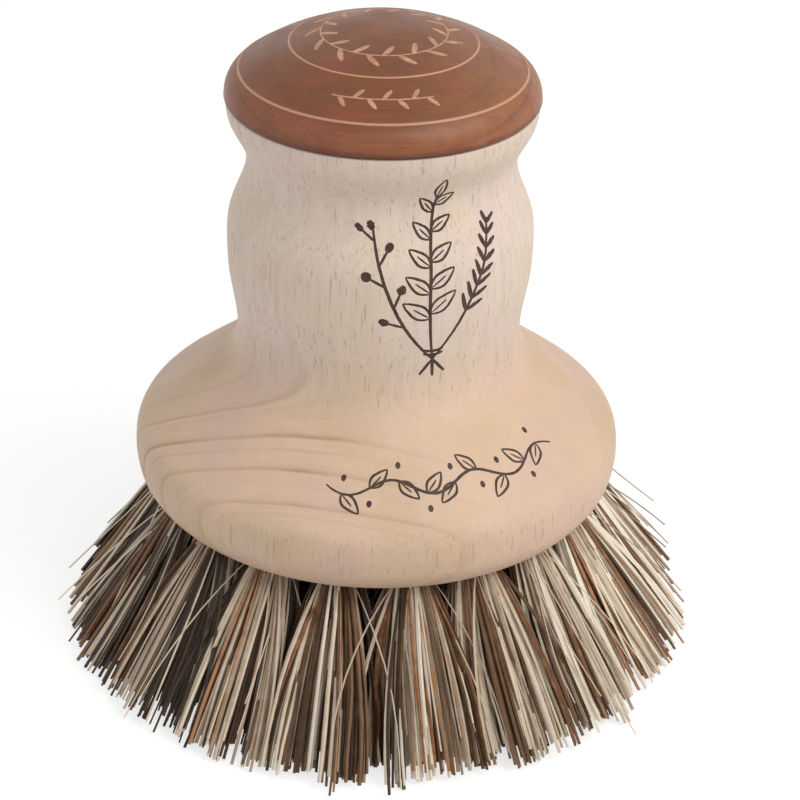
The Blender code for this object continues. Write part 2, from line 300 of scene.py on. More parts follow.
def beechMaterial():
    made, tree, shader, place = newMaterial("beech")
    figure = figureOf(tree, place, beech)
    wear = worn(tree, place)
    patches = noise(tree, place, 1 / beech["patchSize"])
    block = layered(tree, patches, beech["blockTone"], beech["blockPatches"])
    barrel = layered(tree, patches, beech["barrelTone"], beech["barrelPatches"])
    upShare = between(tree, heightOf(tree, place), *beech["toneEnds"])
    tone = mixed(tree, upShare, block, barrel)
    tone = mixed(tree, times(tree, figure["Streaks"], beech["streakShare"]), tone, beech["streakTone"])
    ringShare = times(tree, between(tree, upShare, 0.0, 1.0, *beech["ringShares"]), figure["Rings"])
    for side, ends in beech["ringSides"]:
        ringShare = times(tree, ringShare, between(tree, howFar(tree, place, side), *ends))
    tone = mixed(tree, ringShare, tone, beech["ringTone"])
    slope = heightOf(tree, addNode(tree, "NewGeometry").outputs["Normal"])
    fleckShare = between(tree, slope, *beech["fleckSlopes"])
    tone = mixed(tree, times(tree, figure["Flecks"], fleckShare), tone, beech["fleckTone"])
    tone = mixed(tree, times(tree, wear["Smudges"], beech["smudgeShare"]), tone, beech["streakTone"])
    waveScale = 1 / beech["turningStep"] / 20      # this texture shows 20 waves to a metre at scale 1
    waves = {"Vector": place, "Scale": waveScale, "Distortion": beech["turningWaver"]}
    turning = addNode(tree, "TexWave", waves, bands_direction="Z").outputs["Fac"]
    height = 0.0
    for source, relief in zip((figure["Flecks"], turning, figure["Streaks"], wear["Pits"]), beech["relief"]):
        height = maths(tree, "ADD", height, times(tree, source, relief))
    setFinish(tree, shader, beech, tone, wear["Smudges"], height)
    return made


# The frame, read back as drawing sizes

sameSpot = 0.00006
fullShare = 0.95        # a turned ring has nearly as many corners as the fullest one
sharpAngle = math.radians(50)
slopeStep = 0.0004      # the slope of a turned surface is taken this far up and down its outline


def turnedRings(node):
    # radius and height of each full ring of a turned node, from the top down
    points = np.array([vertex.co for vertex in nodes[node].data.vertices])
    bearings = np.arctan2(points[:, 1], points[:, 0]).round(2)
    outline = np.column_stack([np.hypot(points[:, 0], points[:, 1]), points[:, 2]])
    rings = []
    while len(outline):
        near = np.linalg.norm(outline - outline[0], axis=1) < sameSpot
        rings.append((len(set(bearings[near])), tuple(outline[near].mean(axis=0).tolist())))
        outline, bearings = outline[~near], bearings[~near]
    least = max(rings)[0] * fullShare
    return sorted((ring for corners, ring in rings if corners >= least), key=lambda ring: -ring[1])


def smoothRun(points, spacing):
    # a smooth line through the points, with a point about every spacing; two points make a straight one
    line = [Vector(point) for point in points]
    if len(line) == 2:
        return line
    gaps = [(after - before).length for before, after in zip(line, line[1:])]
    slopes = [(after - before) / gap for before, after, gap in zip(line, line[1:], gaps)]
    inner = [
        (after - before) / (gap + nextGap)
        for before, after, gap, nextGap in zip(line, line[2:], gaps, gaps[1:])
    ]
    tangents = [2 * slopes[0] - inner[0], *inner, 2 * slopes[-1] - inner[-1]]
    made = []
    for i, gap in enumerate(gaps):
        steps = max(1, round(gap / spacing))
        for step in range(steps):
            t = step / steps
            made.append(
                line[i] * (2 * t**3 - 3 * t**2 + 1)
                + tangents[i] * gap * (t**3 - 2 * t**2 + t)
                + line[i + 1] * (3 * t**2 - 2 * t**3)
                + tangents[i + 1] * gap * (t**3 - t**2)
            )
    return made + [line[-1]]


def smoothOutline(points, spacing, cornerAngle, softness):
    # smooth runs between the outline's corners, and each corner eased over its softness
    line = [Vector(point) for point in points]
    runs = [[line[0]]]
    for before, point, after in zip(line, line[1:], line[2:]):
        runs[-1].append(point)
        if (point - before).angle(after - point) > cornerAngle:
            runs.append([point])
    runs[-1].append(line[-1])
    made = smoothRun(runs[0], spacing)
    for run in runs[1:]:
        following = smoothRun(run, spacing)
        corner = made.pop()
        before = corner + (made[-1] - corner).normalized() * softness
        after = corner + (following[1] - corner).normalized() * softness
        made += [before, (before + 2 * corner + after) / 4, after, *following[1:]]
    return made


def turnedMesh(outline, segments):
    # turns an outline of radius and height, given from the top on the axis to the bottom on the axis
    mesh = bmesh.new()
    rings = []
    for radius, height in outline:
        corners = segments if radius > 0 else 1
        turns = [2 * math.pi * step / corners for step in range(corners)]
        rings.append([mesh.verts.new((radius * math.cos(t), radius * math.sin(t), height)) for t in turns])
    for upper, lower in zip(rings, rings[1:]):
        for step in range(segments):
            after = step + 1
            corners = [upper[step % len(upper)], lower[step % len(lower)]]
            corners += [lower[after % len(lower)], upper[after % len(upper)]]
            mesh.faces.new(dict.fromkeys(corners))
    return mesh


def meshData(name, mesh):
    data = bpy.data.meshes.new(name)
    mesh.to_mesh(data)
    mesh.free()
    return data


def placed(name, data):
    made = bpy.data.objects.new(name, data)
    bpy.context.scene.collection.objects.link(made)
    return made


def newPiece(name, data, material, replaced=()):
    # a finished piece of the brush: smooth, with its finish, riding on the brush's one body
    data.shade_smooth()
    data.set_sharp_from_angle(angle=sharpAngle)
    data.materials.clear()
    data.materials.append(material)
    made = placed(name, data)
    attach(made, "root")
    if replaced:
        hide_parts(*replaced)
    return made


def surfaceOf(outline):
    # places on a turned surface, by bearing from the front and length down the outline
    line = np.array([tuple(point) for point in outline])
    lengths = np.concatenate([[0], np.cumsum(np.hypot(*np.diff(line, axis=0).T))])

    def place(bearing, down):
        ends = [down - slopeStep, down + slopeStep]
        radius, height = [np.interp([down, *ends], lengths, line[:, column]) for column in (0, 1)]
        slope = Vector((radius[2] - radius[1], height[2] - height[1])).normalized()
        outwards = Vector((math.sin(bearing), -math.cos(bearing), 0))
        normal = outwards * -slope.y + upwards * slope.x
        return outwards * radius[0] + upwards * height[0], normal

    def downAt(height):
        return float(np.interp(-height, -line[:, 1], lengths))

    return place, downAt


# Tufts as the frame has them

fitGap = 0.0003         # between a tuft and its hole
floorBand = 0.0004      # strand ends this near the floor mark the tuft's fan


def distinctPoints(node):
    return np.array(sorted({tuple(round(x, 6) for x in vertex.co) for vertex in nodes[node].data.vertices}))


def tuftPlan(node):
    # the hole's frame and the sizes of one tuft: depths are into the wood from the underside
    points = distinctPoints(node)
    staple = distinctPoints(node.replace("tuft", "staple"))
    ends = points[points[:, 2] < floorBand]
    fanCentre = Vector((*ends[:, :2].mean(axis=0), 0))
    axis = (Vector(staple.mean(axis=0)) - fanCentre).normalized()
    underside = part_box("wood_body")[0].z
    mouth = fanCentre + axis * (underside / axis.z)
    radial = Vector((mouth.x, mouth.y, 0)).normalized()
    along = upwards.cross(radial)
    outwards = along.cross(axis)
    fanRadius = np.linalg.norm(ends[:, :2] - np.array(fanCentre)[:2], axis=1).max()
    depths = (points - np.array(mouth)) @ np.array(axis)
    offAxis = np.linalg.norm(points - np.array(mouth) - np.outer(depths, axis), axis=1)
    return {
        "node": node,
        "mouth": mouth,
        "axis": axis,
        "outwards": outwards,
        "along": along,
        "radial": radial,
        "rootRadius": offAxis[depths > floorBand].max(),
        "rootDepth": depths.max(),
        "crownDepth": ((staple - np.array(mouth)) @ np.array(axis)).min(),
        "rowRadius": fanCentre.length,
        "fanRadius": fanRadius,
        "halfTurn": math.asin(fanRadius / fanCentre.length),    # the fan's share of its row, to each side
    }


tuftNodes = sorted(node for node in nodes if node.startswith("tuft"))
tufts = [tuftPlan(node) for node in tuftNodes]

# Turned body

body = {
    "segments": 144,
    "spacing": 0.0005,
    "cornerAngle": math.radians(26),
    "edgeSoftness": 0.00018,
    "holeSides": 24,
    "leastGripRadius": 0.010,   # rings inside this belong to the peg's bore
}


def holeCutter():
    mesh = bmesh.new()
    for tuft in tufts:
        overrun = tuft["rootRadius"]
        radius, depth = overrun + fitGap, tuft["rootDepth"] + fitGap
        made = bmesh.ops.create_cone(
            mesh,
            cap_ends=True,
            segments=body["holeSides"],
            radius1=radius,
            radius2=radius,
            depth=depth + overrun,
        )
        middle = tuft["mouth"] + tuft["axis"] * (depth - overrun) / 2
        for vertex in made["verts"]:
            x, y, z = vertex.co
            vertex.co = middle + tuft["outwards"] * x + tuft["along"] * y + tuft["axis"] * z
    bmesh.ops.recalc_face_normals(mesh, faces=mesh.faces)
    return placed("holeCutter", meshData("holeCutter", mesh))


def makeBody(material):
    rings = turnedRings("wood_body")
    bore = [ring for ring in rings if ring[0] < body["leastGripRadius"]][0]
    outer = [ring for ring in rings if ring[0] > body["leastGripRadius"]]
    corners = [(bore[0], outer[0][1]), *outer, (0, outer[-1][1])]
    outside = smoothOutline(corners, body["spacing"], body["cornerAngle"], body["edgeSoftness"])
    outline = [(0, bore[1]), bore, *outside]
    blank = placed("blank", meshData("blank", turnedMesh(outline, body["segments"])))
    cutter = holeCutter()
    drill = blank.modifiers.new("Drill", "BOOLEAN")
    drill.operation = "DIFFERENCE"
    drill.object = cutter
    evaluated = blank.evaluated_get(bpy.context.evaluated_depsgraph_get())
    drilled = bpy.data.meshes.new_from_object(evaluated)
    drilled.name = "turnedBody"
    for helper in (blank, cutter):
        bpy.data.objects.remove(helper)
    newPiece("turnedBody", drilled, material, ["wood_body"])
    return surfaceOf(outside)


print("turning the body")
beechFinish = beechMaterial()
bodySurface, bodyDownAt = makeBody(beechFinish)

# Stained cap

cap = {
    "segments": 128,
    "spacing": 0.0005,
    "cornerAngle": math.radians(60),
    "edgeSoftness": 0.00012,
    "grooveWidth": 0.0003,
    "grooveDepth": 0.00012,
    "grooveShares": (-1.0, -0.6, -0.25, 0.25, 0.6, 1.0),   # of half the groove's width
    "topTone": screenColour(129, 76, 42),
    "rimTone": screenColour(152, 93, 60),
    "rimStart": (-0.0006, 0.0012),          # from the outer groove
    "paleTone": screenColour(178, 119, 78),
    "paleSide": (0.94, -0.34, 0.0),         # the side toward the key light, where the cap gets a painted highlight
    "paleSideEnds": (0.002, 0.019, 0.0, 0.6),
    "redTone": screenColour(150, 80, 60),
    "redScale": 160.0,
    "redEnds": (0.5, 0.66, 0.0, 0.5),
    "grainTone": screenColour(92, 58, 40),
    "grainShares": {"Rings": 0.45, "Streaks": 0.36, "Flecks": 0.4},
    "edgeTone": screenColour(106, 56, 34),
    "edgeShare": 0.75,
    "edgeHeights": (0.0004, 0.0009),        # painted shade along the cap's lower edge, between these heights above the body's top
    "edgeDrift": 0.0004,
    "lineTone": screenColour(208, 160, 130),
    "lineEnds": (0.4, 0.55, 0.85, 0.0),     # in groove widths from the line's middle, and how bare it is
    "grainTurn": (0.0, math.radians(90), math.radians(-20)),    # its grain lies level, across the view
    "roughness": (0.36, 0.52),
    "specular": 0.36,
    "bump": (0.25, 0.00005),
    "streakRelief": 0.4,
    "pith": (0.05, 0.012, 0.0),             # where the tree's centre runs, with the grain stood upright
    "ringWidth": 0.0026,
    "smudgeSize": 0.006,
}


def capOutline():
    # the cap's outer line without its grooves, and the grooves' radii
    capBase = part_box("wood_body")[1].z
    rings = [ring for ring in turnedRings("stained_cap") if ring[1] > capBase]
    widest = rings.index(max(rings))
    edge = [ring for ring in rings[widest:] if ring[0] > body["leastGripRadius"]]
    rings = [(0.0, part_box("stained_cap")[1].z), *sorted(rings[:widest]), *edge]
    kept, grooves = [rings[0]], []
    for before, ring, after in zip(rings, rings[1:], rings[2:]):
        chord = Vector(after) - Vector(before)
        offset = Vector(ring) - Vector(before)
        if chord.x * offset.y - chord.y * offset.x < 0:    # it lies inside its neighbours' line
            grooves.append(ring[0])
        else:
            kept.append(ring)
    foot = turnedRings("stained_cap")[-1]
    kept += [rings[-1], (foot[0], rings[-1][1]), foot, (0, foot[1])]
    return smoothOutline(kept, cap["spacing"], cap["cornerAngle"], cap["edgeSoftness"]), grooves


def engraved(outline, grooves):
    line = np.array([tuple(point) for point in outline])
    edge = int(line[:, 0].argmax())
    half = cap["grooveWidth"] / 2
    radii = [radius for radius in line[:edge, 0] if all(abs(radius - groove) > half for groove in grooves)]
    radii += [groove + half * share for groove in grooves for share in cap["grooveShares"]]
    made = []
    for radius in sorted(radii):
        height = np.interp(radius, line[:edge, 0], line[:edge, 1])
        nearest = min(abs(radius - groove) for groove in grooves)
        sunk = max(0.0, 1 - (nearest / half) ** 2) * cap["grooveDepth"]
        made.append((radius, height - sunk))
    return made + [tuple(point) for point in line[edge:]]


def stainedMaterial(grooves):
    made, tree, shader, place = newMaterial("stainedBeech")
    turned = {"Vector": place, "Rotation": cap["grainTurn"]}
    grained = addNode(tree, "VectorRotate", turned, rotation_type="EULER_XYZ", invert=True).outputs[0]
    figure = figureOf(tree, grained, cap)
    wear = worn(tree, place, cap["smudgeSize"])
    radius = vectorMaths(tree, "LENGTH", stretched(tree, place, (1, 1, 0)))["Value"]
    rimShare = between(tree, radius, *[max(grooves) + step for step in cap["rimStart"]])
    tone = mixed(tree, rimShare, cap["topTone"], cap["rimTone"])
    # painted highlight: the cap is painted lighter towards the key-lit side
    paintedHighlightShare = between(tree, howFar(tree, place, cap["paleSide"]), *cap["paleSideEnds"])
    tone = mixed(tree, paintedHighlightShare, tone, cap["paleTone"])
    patches = between(tree, noise(tree, place, cap["redScale"]), *cap["redEnds"])
    tone = mixed(tree, patches, tone, cap["redTone"])
    for name, share in cap["grainShares"].items():
        tone = mixed(tree, times(tree, figure[name], share), tone, cap["grainTone"])
    lineStart, lineEnd, *bareness = cap["lineEnds"]
    for groove in grooves:
        reach = maths(tree, "ABSOLUTE", maths(tree, "SUBTRACT", radius, groove))
        bare = between(tree, reach, cap["grooveWidth"] * lineStart, cap["grooveWidth"] * lineEnd, *bareness)
        tone = mixed(tree, bare, tone, cap["lineTone"])
    # painted shade: a dark band along the cap's lower edge, where it meets the body
    wavering = times(tree, wear["Smudges"], cap["edgeDrift"])
    above = maths(tree, "SUBTRACT", heightOf(tree, place), wavering)
    edgeEnds = [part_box("wood_body")[1].z + height for height in cap["edgeHeights"]]
    paintedEdgeShadeMask = between(tree, above, *edgeEnds, cap["edgeShare"], 0.0)
    tone = mixed(tree, paintedEdgeShadeMask, tone, cap["edgeTone"])
    height = maths(tree, "ADD", times(tree, figure["Streaks"], cap["streakRelief"]), wear["Pits"])
    setFinish(tree, shader, cap, tone, wear["Smudges"], height)
    return made


def makeCap():
    outline, grooves = capOutline()
    data = meshData("stainedCap", turnedMesh(engraved(outline, grooves), cap["segments"]))
    newPiece("stainedCap", data, stainedMaterial(grooves), ["stained_cap"])
    return surfaceOf(outline), grooves


print("turning the cap")
(capSurface, capDownAt), capGrooves = makeCap()

# Drawn and engraved ornament: strokes that lie on a turned surface

stroke = {
    "spacing": 0.00035,
    "leastSteps": 7,
    "fullness": 0.6,        # the lower, the sooner a stroke reaches its full width
    "proud": 0.00003,       # how far the ink stands above the wood
    "sunk": 0.00003,        # how far its edges lie in it
}


def strokeWidths(count, width, endShare):
    # the end share is the width at a stroke's ends, as a share of its full width
    swells = [math.sin(math.pi * (step + 0.5) / count) ** stroke["fullness"] for step in range(count)]
    return [width * (endShare + (1 - endShare) * swell) for swell in swells]


def addRibbon(mesh, surface, line, widths):
    # a thin closed ribbon along a line of bearings and lengths down the outline
    places = [surface(bearing, down) for bearing, down in line]
    rings = []
    for i, (place, normal) in enumerate(places):
        before, after = places[max(i - 1, 0)][0], places[min(i + 1, len(places) - 1)][0]
        side = normal.cross(after - before).normalized() * widths[i] / 2
        edge = place - normal * stroke["sunk"] / 2
        ring = [edge + side, place - normal * stroke["sunk"], edge - side, place + normal * stroke["proud"]]
        rings.append([mesh.verts.new(corner) for corner in ring])
    for ring, following in zip(rings, rings[1:]):
        for k in range(len(ring)):
            after = (k + 1) % len(ring)
            mesh.faces.new([ring[k], ring[after], following[after], following[k]])
    mesh.faces.new(list(reversed(rings[0])))
    mesh.faces.new(rings[-1])


def addDrawing(mesh, surface, anchor, radius, strokes):
    # strokes are lists of points across and up from the anchor, each with its width and end share
    bearing, down = anchor
    for points, width, endShare in strokes:
        points = [Vector(point) for point in points]
        if len(points) == 2:
            points.insert(1, points[0].lerp(points[1], 0.5))
        reach = sum((after - before).length for before, after in zip(points, points[1:]))
        line = smoothRun(points, min(stroke["spacing"], reach / stroke["leastSteps"]))
        spots = [(bearing + point.x / radius, down - point.y) for point in line]
        addRibbon(mesh, surface, spots, strokeWidths(len(spots), width, endShare))


def ahead(heading):
    # one metre along a heading, which is 0 upwards and grows clockwise
    return Vector((math.sin(heading), math.cos(heading)))


leafForm = {
    "belly": 0.34,              # along the leaf, as a share of its length
    "shoulder": (0.72, 0.66),   # along it, and across as a share of the belly's width
    "vein": (0.08, 0.62),
    "veinWidth": 0.7,
    "edgeEnds": 0.4,
    "veinEnds": 0.3,
}


def leafStrokes(base, heading, length, width, inkWidth):
    # both edges of a leaf and its vein
    out = ahead(heading)
    side = Vector((out.y, -out.x)) * width / 2
    strokes = []
    for turn in (1, -1):
        belly = base + out * length * leafForm["belly"] + side * turn
        shoulder = base + out * length * leafForm["shoulder"][0] + side * turn * leafForm["shoulder"][1]
        strokes.append(([base, belly, shoulder, base + out * length], inkWidth, leafForm["edgeEnds"]))
    vein = [base + out * length * share for share in leafForm["vein"]]
    return [*strokes, (vein, inkWidth * leafForm["veinWidth"], leafForm["veinEnds"])]


def evenShares(start, reach, count):
    # shares of a stem at even steps, from the start over the reach
    return [start + reach * k / (count - 1) for k in range(count)]


def pointAlong(line, share):
    # the place and heading at a share of a smooth line's points
    i = min(int(share * (len(line) - 1)), len(line) - 2)
    step = line[i + 1] - line[i]
    return line[i], math.atan2(step.x, step.y)


herbs = {
    "foot": (math.radians(1), 0.0472),      # bearing and height where the stems are tied
    "radius": 0.0192,
    "inkWidth": 0.0006,
    "fineInk": 0.8,             # share of the ink's width on stalks and leaves
    "stemTops": [(-0.0080, 0.0182), (0.0006, 0.0225), (0.0088, 0.0176)],
    "stemBends": [(-0.0050, 0.0075), (-0.0008, 0.0105), (0.0048, 0.0080)],
    "stemEnds": 0.6,
    "tails": [(-0.0016, -0.0022), (0.0002, -0.0026), (0.0018, -0.0021)],
    "tailEnds": 0.5,
    "stalks": (0.34, 0.6, 5),   # where they start along the stem, how far they reach, and how many
    "stalkTurn": 0.75,
    "stalkLength": 0.0020,
    "stalkEnds": 0.7,
    "berryWidth": 0.0013,
    "berryEnds": 0.1,
    "topBerry": (-0.5, 0.86),
    "leafPairs": (0.3, 0.62, 5),
    "leafShift": 0.02,
    "leafLength": 0.0044,
    "leafShrink": (1.1, 0.45),  # leaves get shorter up the stem: from this share, by this share
    "leafWidth": 0.42,
    "leafSpread": math.radians(52),
    "endLeaf": (0.75, 0.3),
    "needlePairs": (0.4, 0.58, 8),
    "needleLength": 0.0028,
    "needleShrink": (1.15, 0.5),
    "needleSpread": math.radians(40),
    "needleWidth": 1.35,
    "needleEnds": 0.25,
    "tieHalfWidth": 0.0013,
    "tieHeights": (0.0010, 0.0016),
    "tieSag": 0.0003,
}


def herbStrokes():
    ink, fineInk, berry = herbs["inkWidth"], herbs["inkWidth"] * herbs["fineInk"], herbs["berryWidth"]
    foot = Vector((0, 0))
    stems = [
        smoothRun([foot, Vector(bend), Vector(top)], stroke["spacing"])
        for bend, top in zip(herbs["stemBends"], herbs["stemTops"])
    ]
    berryStem, leafStem, needleStem = stems
    strokes = [(stem, ink, herbs["stemEnds"]) for stem in stems]
    strokes += [([foot, Vector(tail)], ink, herbs["tailEnds"]) for tail in herbs["tails"]]
    for k, share in enumerate(evenShares(*herbs["stalks"])):
        start, heading = pointAlong(berryStem, share)
        out = ahead(heading + (herbs["stalkTurn"] if k % 2 else -herbs["stalkTurn"]))
        end = start + out * herbs["stalkLength"]
        strokes.append(([start, end], fineInk, herbs["stalkEnds"]))
        strokes.append(([end, end + out * berry], berry, herbs["berryEnds"]))
    top = berryStem[-1]
    strokes.append(([top, top + Vector(herbs["topBerry"]) * berry], berry, herbs["berryEnds"]))
    for share in evenShares(*herbs["leafPairs"]):
        length = herbs["leafLength"] * (herbs["leafShrink"][0] - herbs["leafShrink"][1] * share)
        for turn in (-1, 1):
            start, heading = pointAlong(leafStem, share + herbs["leafShift"] * turn)
            turned = heading + turn * herbs["leafSpread"]
            strokes += leafStrokes(start, turned, length, length * herbs["leafWidth"], fineInk)
    length, width = [herbs["leafLength"] * share for share in herbs["endLeaf"]]
    strokes += leafStrokes(*pointAlong(leafStem, 1.0), length, width, fineInk)
    for share in evenShares(*herbs["needlePairs"]):
        length = herbs["needleLength"] * (herbs["needleShrink"][0] - herbs["needleShrink"][1] * share)
        start, heading = pointAlong(needleStem, share)
        for turn in (-1, 1):
            end = start + ahead(heading + turn * herbs["needleSpread"]) * length
            strokes.append(([start, end], ink * herbs["needleWidth"], herbs["needleEnds"]))
    half = herbs["tieHalfWidth"]
    for lift in herbs["tieHeights"]:
        strokes.append(([(-half, lift), (0, lift - herbs["tieSag"]), (half, lift)], ink, herbs["stemEnds"]))
    return strokes


garland = {
    "centre": (math.radians(2), 0.0335),    # bearing and height on the shoulder
    "radius": 0.0268,
    "halfLength": 0.0165,
    "waves": 3,
    "wavePoints": 8,
    "swing": 0.0011,
    "inkWidth": 0.00058,
    "vineEnds": 0.5,
    "leaves": 9,
    "leafMargin": 0.6,              # bare vine at each end, in leaf spacings
    "leafLength": 0.0034,
    "leafWidth": 0.46,
    "leafTurn": math.radians(48),
    "fineInk": 0.85,
    "dotWidth": 0.0009,
    "dotDrop": 0.0017,
    "dotEnds": 0.1,
}


def garlandStrokes():
    ink, half = garland["inkWidth"], garland["halfLength"]
    count = garland["wavePoints"] * garland["waves"]
    vine = []
    for step in range(count + 1):
        share = 2 * step / count - 1
        vine.append((half * share, garland["swing"] * math.sin(math.pi * garland["waves"] * share)))
    line = smoothRun(vine, stroke["spacing"])
    strokes = [(line, ink, garland["vineEnds"])]
    length, dot = garland["leafLength"], garland["dotWidth"]
    width = length * garland["leafWidth"]
    margin = garland["leafMargin"]
    for k in range(garland["leaves"]):
        share = (k + margin) / (garland["leaves"] - 1 + 2 * margin)
        turn = 1 if k % 2 else -1
        start = pointAlong(line, share)[0]
        inwards = 1 if share < 0.5 else -1
        heading = math.radians(90) * inwards - inwards * turn * garland["leafTurn"]
        strokes += leafStrokes(start, heading, length, width, ink * garland["fineInk"])
        drop = start + Vector((0, -turn * garland["dotDrop"]))
        strokes.append(([drop, drop + Vector((0, -turn * dot))], dot, garland["dotEnds"]))
    return strokes


ink = {
    "tone": screenColour(58, 42, 38),
    "thinTone": screenColour(92, 70, 60),
    "thinShare": 0.7,
    "smudgeSize": 0.0012,
    "roughness": (0.45, 0.65),
    "bump": (0.2, 0.00003),
    "specular": 0.3,
}


def inkMaterial():
    made, tree, shader, place = newMaterial("drawnInk")
    wear = worn(tree, place, ink["smudgeSize"])
    tone = mixed(tree, times(tree, wear["Smudges"], ink["thinShare"]), ink["tone"], ink["thinTone"])
    setFinish(tree, shader, ink, tone, between(tree, wear["Pits"], *handWear["pitEnds"]), wear["Pits"])
    return made


print("drawing the herbs and the garland")
inkFinish = inkMaterial()
for pieceName, plan, anchorName, strokes in (
    ("herbDrawing", herbs, "foot", herbStrokes()),
    ("garlandDrawing", garland, "centre", garlandStrokes()),
):
    mesh = bmesh.new()
    bearing, height = plan[anchorName]
    addDrawing(mesh, bodySurface, (bearing, bodyDownAt(height)), plan["radius"], strokes)
    newPiece(pieceName, meshData(pieceName, mesh), inkFinish)

leafRing = {
    "wreathRadius": 0.0078,
    "wreathLeaves": 26,
    "wreathLeaf": (0.0025, 0.001),
    "sprigSpan": (math.radians(-44), math.radians(4)),      # bearings of the sprig between the two rings
    "sprigLeaves": 7,
    "sprigLeaf": (0.0018, 0.0008),
    "leafEnds": 0.15,
    "stemWidth": 0.0003,
    "stemEnds": 0.8,
    "leafTurn": math.radians(52),
    "stainShare": 0.6,              # how much stain is left in the lines
    "smudgeSize": 0.001,
    "roughness": (0.5, 0.65),
    "bump": (0.2, 0.00003),
    "specular": 0.5,
}


def engravingMaterial():
    made, tree, shader, place = newMaterial("bareEngraving")
    wear = worn(tree, place, leafRing["smudgeSize"])
    tone = mixed(tree, times(tree, wear["Smudges"], leafRing["stainShare"]), cap["lineTone"], cap["rimTone"])
    setFinish(tree, shader, leafRing, tone, between(tree, wear["Pits"], *handWear["pitEnds"]), wear["Pits"])
    return made


def leafChain(half, count, leaf):
    # leaves left and right of a thin stem that runs across
    length, width = leaf
    stem = [(half * share, 0) for share in (-1, -0.5, 0, 0.5, 1)]
    strokes = [(stem, leafRing["stemWidth"], leafRing["stemEnds"])]
    for k in range(count):
        start = Vector((half * (2 * (k + 0.5) / count - 1), 0))
        out = ahead(math.radians(90) - leafRing["leafTurn"] * (1 if k % 2 else -1))
        strokes.append(([start, start + out * length], width, leafRing["leafEnds"]))
    return strokes


def makeLeafRing(material):
    # a wreath round the crown, and a sprig between the two engraved rings
    mesh = bmesh.new()
    middle = sum(capGrooves) / len(capGrooves)
    start, end = leafRing["sprigSpan"]
    for radius, centre, half, count, leaf in (
        (leafRing["wreathRadius"], 0.0, math.pi, leafRing["wreathLeaves"], leafRing["wreathLeaf"]),
        (middle, (start + end) / 2, (end - start) / 2, leafRing["sprigLeaves"], leafRing["sprigLeaf"]),
    ):
        down = 0.0
        while capSurface(0, down)[0].y > -radius:
            down += stroke["spacing"]
        addDrawing(mesh, capSurface, (centre, down), radius, leafChain(half * radius, count, leaf))
    newPiece("leafEngraving", meshData("leafEngraving", mesh), material)


print("engraving the leaf ring")
makeLeafRing(engravingMaterial())

# Tufts of folded fibre

fibre = {
    "strands": 170,                     # each is folded over the staple and shows two ends
    "widths": (0.00034, 0.00064),
    "rootShare": 0.54,                  # width inside the hole, as a share of the free width
    "swelling": 3,                      # the higher, the sooner a strand has its full width below the hole
    "tipShare": 0.88,
    "sides": 4,
    "outsideSteps": 7,
    "foldSteps": 3,
    "evenness": (0.75, 0.999),          # least gap between spots, and how it gives where there is no room
    "middleGap": 0.06,                  # between the two halves, as a share of the mouth's radius
    "locks": 14,                        # clumps in each half of a tuft
    "lockPull": 0.38,                   # how far a strand's tip is drawn to its lock's middle
    "lockSwing": (0.0007, 0.0011),      # outwards and along the row
    "tipJitter": 0.0006,
    "raggedLock": 0.0007,
    "raggedStrand": 0.0005,
    "squareness": 0.85,                 # 1 turns the round tuft into a full square on the floor
    "reach": (0.92, 1.16),              # how far the tips go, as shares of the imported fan
    "halfMiddle": 0.5,                  # each half of a tuft fans out round this share of the tuft's sector
    "bloom": (0.1, 0.9),                # how soon the strands spread below the wood
    "lean": (-0.0006, -0.0028, 0.0),    # how far use has pushed all the tips
    "wave": 0.00012,
    "waves": (0.6, 1.6),
    "floorGap": 0.00015,
    "crossFrom": 0.35,                  # strands outside this share of the tuft may cross their neighbours
    "crossShare": 0.22,
    "crossSwing": 0.0026,
    "strayShare": 0.03,
    "straySwing": 0.0032,
    "strayOutwards": 0.4,
    "strayLift": 0.007,
    "strayWidth": 0.00022,
    "strayShades": (0.5, 0.95),
    "strangers": 0.3,                   # share of strands that don't have their lock's colour
    "shadeDrift": 0.08,
    "paleSide": (0.94, -0.34, 0.0),     # the key-lit side: strands are paler towards it, partly more pale strands and partly painted light
    "paler": (0.06, 0.22),              # everywhere, and towards the key-lit side, partly as painted light
    "lockShades": (
        0.0, 0.03, 0.06, 0.1, 0.14, 0.19, 0.24, 0.3, 0.36, 0.46, 0.56, 0.62, 0.7, 0.78, 0.86, 0.92,
    ),
    "tones": [
        (0.00, screenColour(54, 38, 25)),
        (0.16, screenColour(80, 57, 38)),
        (0.28, screenColour(112, 87, 62)),
        (0.37, screenColour(134, 94, 68)),
        (0.43, screenColour(180, 126, 84)),
        (0.49, screenColour(158, 138, 116)),
        (0.68, screenColour(206, 187, 166)),
        (0.86, screenColour(232, 218, 194)),
        (1.00, screenColour(244, 235, 219)),
    ],
    "toneDrift": (-0.045, 0.045),       # along a strand
    # painted shade: strands darker near their roots, under the wood
    "rootDarkness": (0.0, 0.2, 0.3, 0.0),
    "smudgeSize": 0.0016,
    "pitSize": 0.00012,
    "roughness": (0.42, 0.6),
    "bump": (0.3, 0.00003),
    "specular": 0.34,
    "seed": 800,
}


def fibreMaterial():
    made, tree, shader, place = newMaterial("plantFibre")
    shade = addNode(tree, "Attribute", attribute_name="fibreShade").outputs["Fac"]
    run = addNode(tree, "Attribute", attribute_name="fibreRun").outputs["Fac"]
    wear = worn(tree, place, fibre["smudgeSize"], fibre["pitSize"])
    drift = between(tree, wear["Smudges"], 0.0, 1.0, *fibre["toneDrift"])
    tone = colourRamp(tree, maths(tree, "ADD", shade, drift, clamped=True), fibre["tones"])
    # painted shade near the roots, under the wood
    tone = mixed(tree, between(tree, run, *fibre["rootDarkness"]), tone, fibre["tones"][1][1])
    setFinish(tree, shader, fibre, tone, wear["Smudges"], wear["Pits"])
    return made


def scatter(dice, outwards=0):
    # a random step outwards and along the row
    return Vector((dice.gauss(outwards, 1), dice.gauss(0, 1)))


